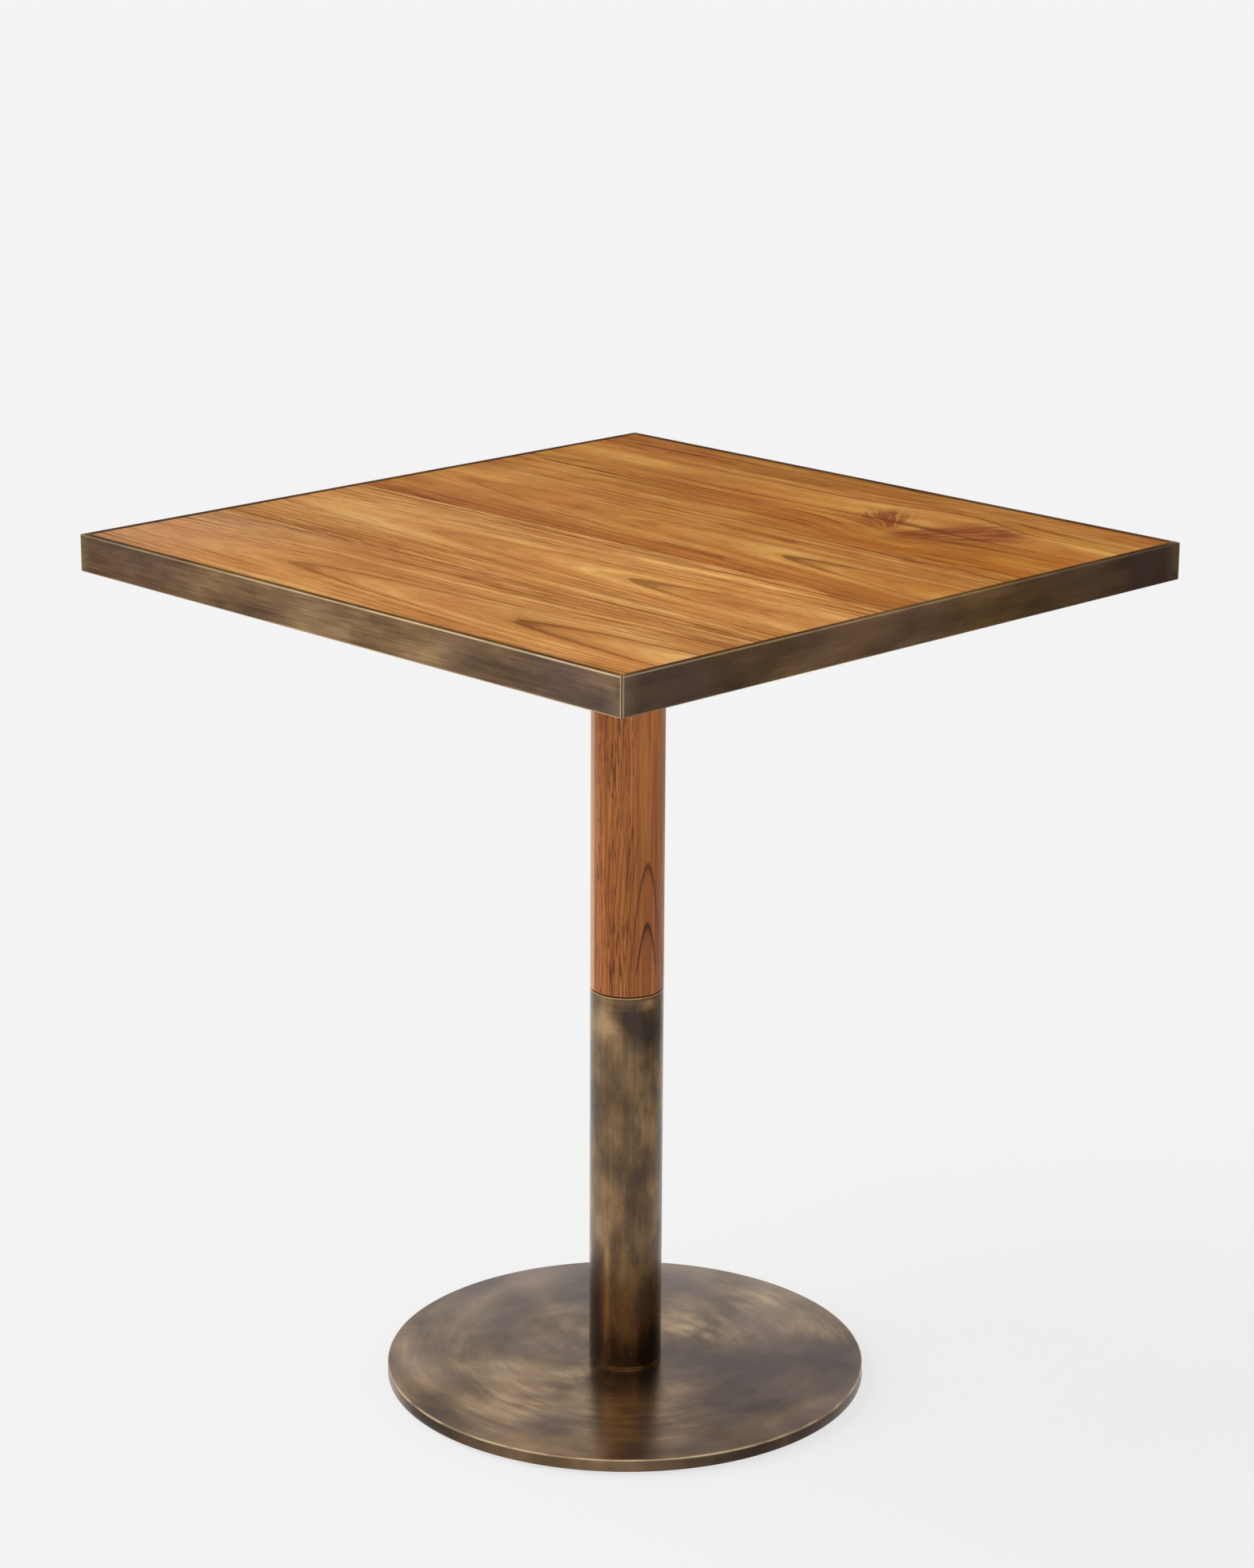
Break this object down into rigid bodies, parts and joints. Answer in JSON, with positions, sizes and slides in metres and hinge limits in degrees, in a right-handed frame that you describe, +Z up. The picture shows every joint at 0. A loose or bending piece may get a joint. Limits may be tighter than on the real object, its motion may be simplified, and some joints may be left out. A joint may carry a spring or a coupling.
{
  "type": "pedestal dining table",
  "caption": "Square pedestal dining table: teak top in a mitred brass edge, round column of teak over brass, and a brass-clad disc base on levelling glides.",
  "frame": {"origin": "on the floor, on the column's axis", "axes": "+Z up the column, +X along the grain of the top, the front edge faces -Y"},
  "size_m": [0.65, 0.65, 0.755],
  "materials": {
    "teak_top": "oiled satin, grain along one side",
    "teak_column": "oiled satin, grain along the column",
    "plywood": "sanded, unfinished",
    "rail_brass": "aged, brushed lengthwise",
    "column_brass": "aged, blotched patina",
    "base_brass": "aged, brushed in circles",
    "black_steel": "matt black powder coat",
    "bare_steel": "turned and drawn",
    "screw_steel": "zinc plated",
    "nylon": "moulded"
  },
  "bodies": {
    "table": {"top_board_1": "teak_top", "top_board_2": "teak_top", "top_board_3": "teak_top", "top_board_4": "teak_top", "edge_rail_front": "rail_brass", "edge_rail_right": "rail_brass", "edge_rail_rear": "rail_brass", "edge_rail_left": "rail_brass", "backing_panel": "plywood", "mounting_plate": "black_steel", "plate_screws": "screw_steel", "rail_screws": "screw_steel", "column_core_tube": "bare_steel", "column_wood_sleeve": "teak_column", "column_brass_sleeve": "column_brass", "column_joint_collar": "black_steel", "column_foot_plug": "bare_steel", "column_bolts": "screw_steel", "base_plate": "black_steel", "base_skin": "base_brass", "base_rim": "base_brass"},
    "glide_1_stem": {"glide_stem_1": "screw_steel"},
    "glide_1_pad": {"glide_pad_1": "nylon"},
    "glide_2_stem": {"glide_stem_2": "screw_steel"},
    "glide_2_pad": {"glide_pad_2": "nylon"},
    "glide_3_stem": {"glide_stem_3": "screw_steel"},
    "glide_3_pad": {"glide_pad_3": "nylon"},
    "glide_4_stem": {"glide_stem_4": "screw_steel"},
    "glide_4_pad": {"glide_pad_4": "nylon"}
  },
  "joints": [
    {"name": "glide_1_travel", "type": "slide", "parent": "table", "child": "glide_1_stem", "axis": [0, 0, -1], "range_m": [0, 0.005]},
    {"name": "glide_1_turn", "type": "hinge", "parent": "glide_1_stem", "child": "glide_1_pad", "pos_m": [0.11667, 0.11667, 0.003], "axis": [0, 0, -1], "range_deg": [0, 1440]},
    {"name": "glide_2_travel", "type": "slide", "parent": "table", "child": "glide_2_stem", "axis": [0, 0, -1], "range_m": [0, 0.005]},
    {"name": "glide_2_turn", "type": "hinge", "parent": "glide_2_stem", "child": "glide_2_pad", "pos_m": [-0.11667, 0.11667, 0.003], "axis": [0, 0, -1], "range_deg": [0, 1440]},
    {"name": "glide_3_travel", "type": "slide", "parent": "table", "child": "glide_3_stem", "axis": [0, 0, -1], "range_m": [0, 0.005]},
    {"name": "glide_3_turn", "type": "hinge", "parent": "glide_3_stem", "child": "glide_3_pad", "pos_m": [-0.11667, -0.11667, 0.003], "axis": [0, 0, -1], "range_deg": [0, 1440]},
    {"name": "glide_4_travel", "type": "slide", "parent": "table", "child": "glide_4_stem", "axis": [0, 0, -1], "range_m": [0, 0.005]},
    {"name": "glide_4_turn", "type": "hinge", "parent": "glide_4_stem", "child": "glide_4_pad", "pos_m": [0.11667, -0.11667, 0.003], "axis": [0, 0, -1], "range_deg": [0, 1440]}
  ],
  "couplings": [
    {"joint": "glide_1_travel", "follows": "glide_1_turn", "m_per_rad": 0.00019894},
    {"joint": "glide_2_travel", "follows": "glide_2_turn", "m_per_rad": 0.00019894},
    {"joint": "glide_3_travel", "follows": "glide_3_turn", "m_per_rad": 0.00019894},
    {"joint": "glide_4_travel", "follows": "glide_4_turn", "m_per_rad": 0.00019894}
  ]
}
